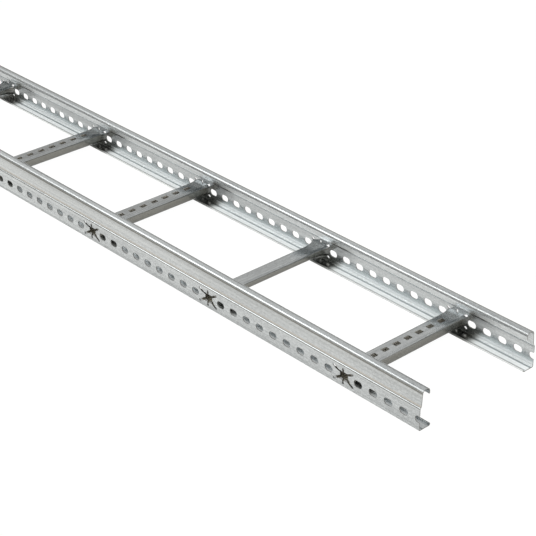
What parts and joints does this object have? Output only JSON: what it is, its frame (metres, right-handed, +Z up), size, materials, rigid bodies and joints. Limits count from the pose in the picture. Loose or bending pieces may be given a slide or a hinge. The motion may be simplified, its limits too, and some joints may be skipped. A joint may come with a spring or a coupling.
{
  "type": "cable ladder section",
  "caption": "Straight cable ladder section: perforated roll-formed side rails joined by hollow rungs that carry and tie down cables.",
  "frame": {"origin": "middle of the underside of the bounding box, on the plane that the bottom flanges lie on", "axes": "+X along the side rails, +Y across the ladder from the left rail to the right rail, +Z up, towards the rails' beads"},
  "size_m": [3, 0.2026, 0.055],
  "materials": {
    "galvanised_rail": "satin zinc coating",
    "galvanised_rung": "satin zinc coating"
  },
  "bodies": {
    "root": {"side_rail_left": "galvanised_rail", "side_rail_right": "galvanised_rail", "rung_01": "galvanised_rung", "rung_02": "galvanised_rung", "rung_03": "galvanised_rung", "rung_04": "galvanised_rung", "rung_05": "galvanised_rung", "rung_06": "galvanised_rung", "rung_07": "galvanised_rung", "rung_08": "galvanised_rung", "rung_09": "galvanised_rung", "rung_10": "galvanised_rung", "rung_11": "galvanised_rung", "rung_12": "galvanised_rung"}
  },
  "joints": []
}
